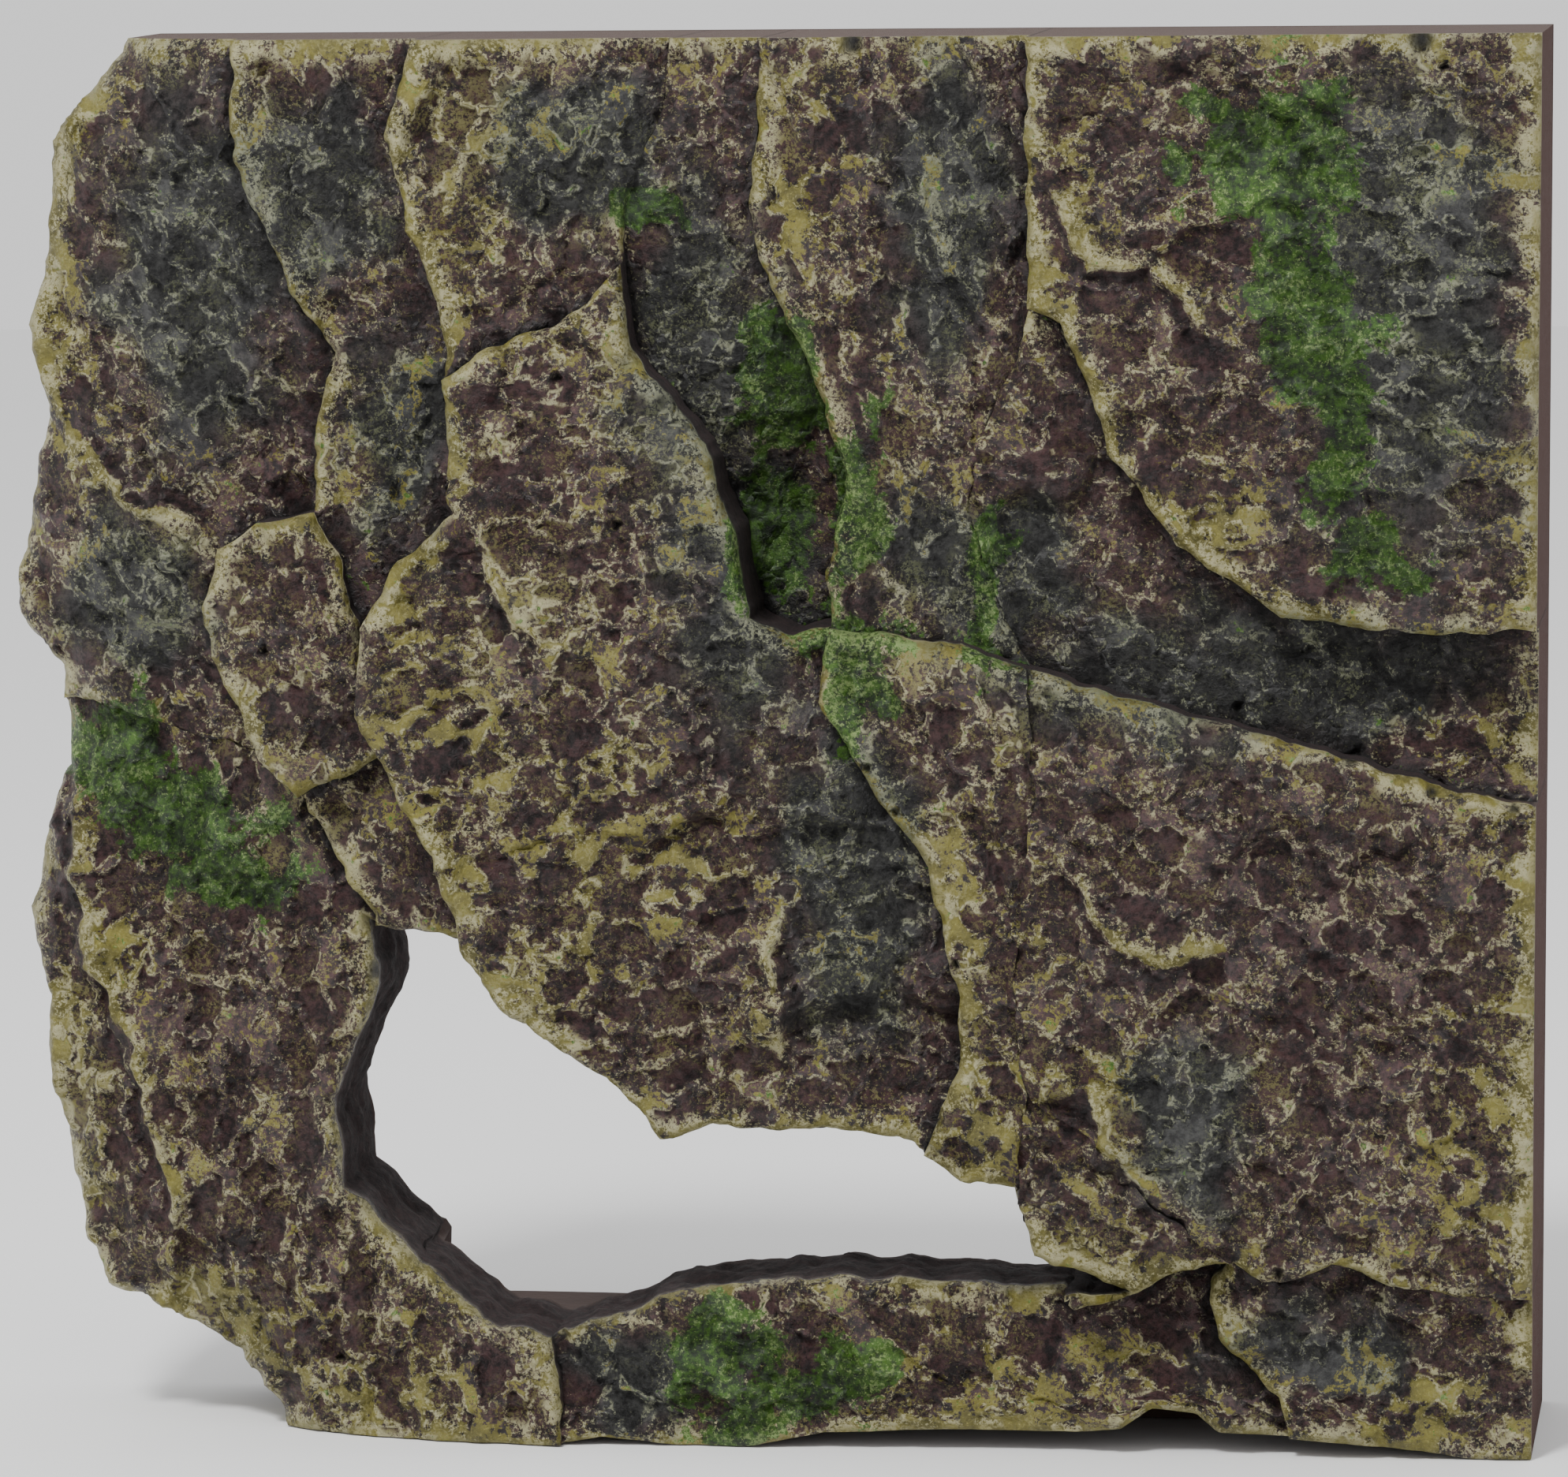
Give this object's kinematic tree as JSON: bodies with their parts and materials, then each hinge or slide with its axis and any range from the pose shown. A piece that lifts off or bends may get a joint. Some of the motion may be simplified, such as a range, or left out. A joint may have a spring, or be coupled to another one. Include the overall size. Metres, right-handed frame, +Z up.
{
  "type": "resin cave ornament",
  "caption": "Open-backed upright rock cave in painted cast resin, with a low arched mouth, straight top, right and bottom edges and a ragged left side.",
  "frame": {"origin": "middle of the footprint's bounding box, on the surface the ornament stands on", "axes": "+X to the right along the rock face, +Y towards the open back, +Z up; the rock face looks along -Y"},
  "size_m": [0.2084, 0.0522, 0.189],
  "materials": {
    "purple_rock": "purple-brown cast resin dry-brushed with mustard and pale grey, satin",
    "charcoal_rock": "charcoal cast resin dry-brushed with mustard and pale grey, satin",
    "ochre_rock": "dark cast resin under heavy mustard dry-brushing, satin",
    "mossy_rock": "dark cast resin with mustard dry-brushing and patches of moss green paint, satin",
    "raw_resin": "unpainted red-brown cast resin, satin"
  },
  "bodies": {
    "root": {"left_flank_slab": "charcoal_rock", "left_mid_slab": "charcoal_rock", "crown_slab": "ochre_rock", "lobe_boulder": "purple_rock", "wedge_slab": "charcoal_rock", "central_slab": "purple_rock", "gully_bed": "mossy_rock", "middle_slab": "purple_rock", "lower_middle_slab": "ochre_rock", "upper_right_slab": "mossy_rock", "valley_bed": "charcoal_rock", "lower_right_slab": "purple_rock", "overhang_lobe": "ochre_rock", "right_foot": "ochre_rock", "left_arm": "mossy_rock", "base_sill": "mossy_rock", "rear_rail": "raw_resin"}
  },
  "joints": []
}
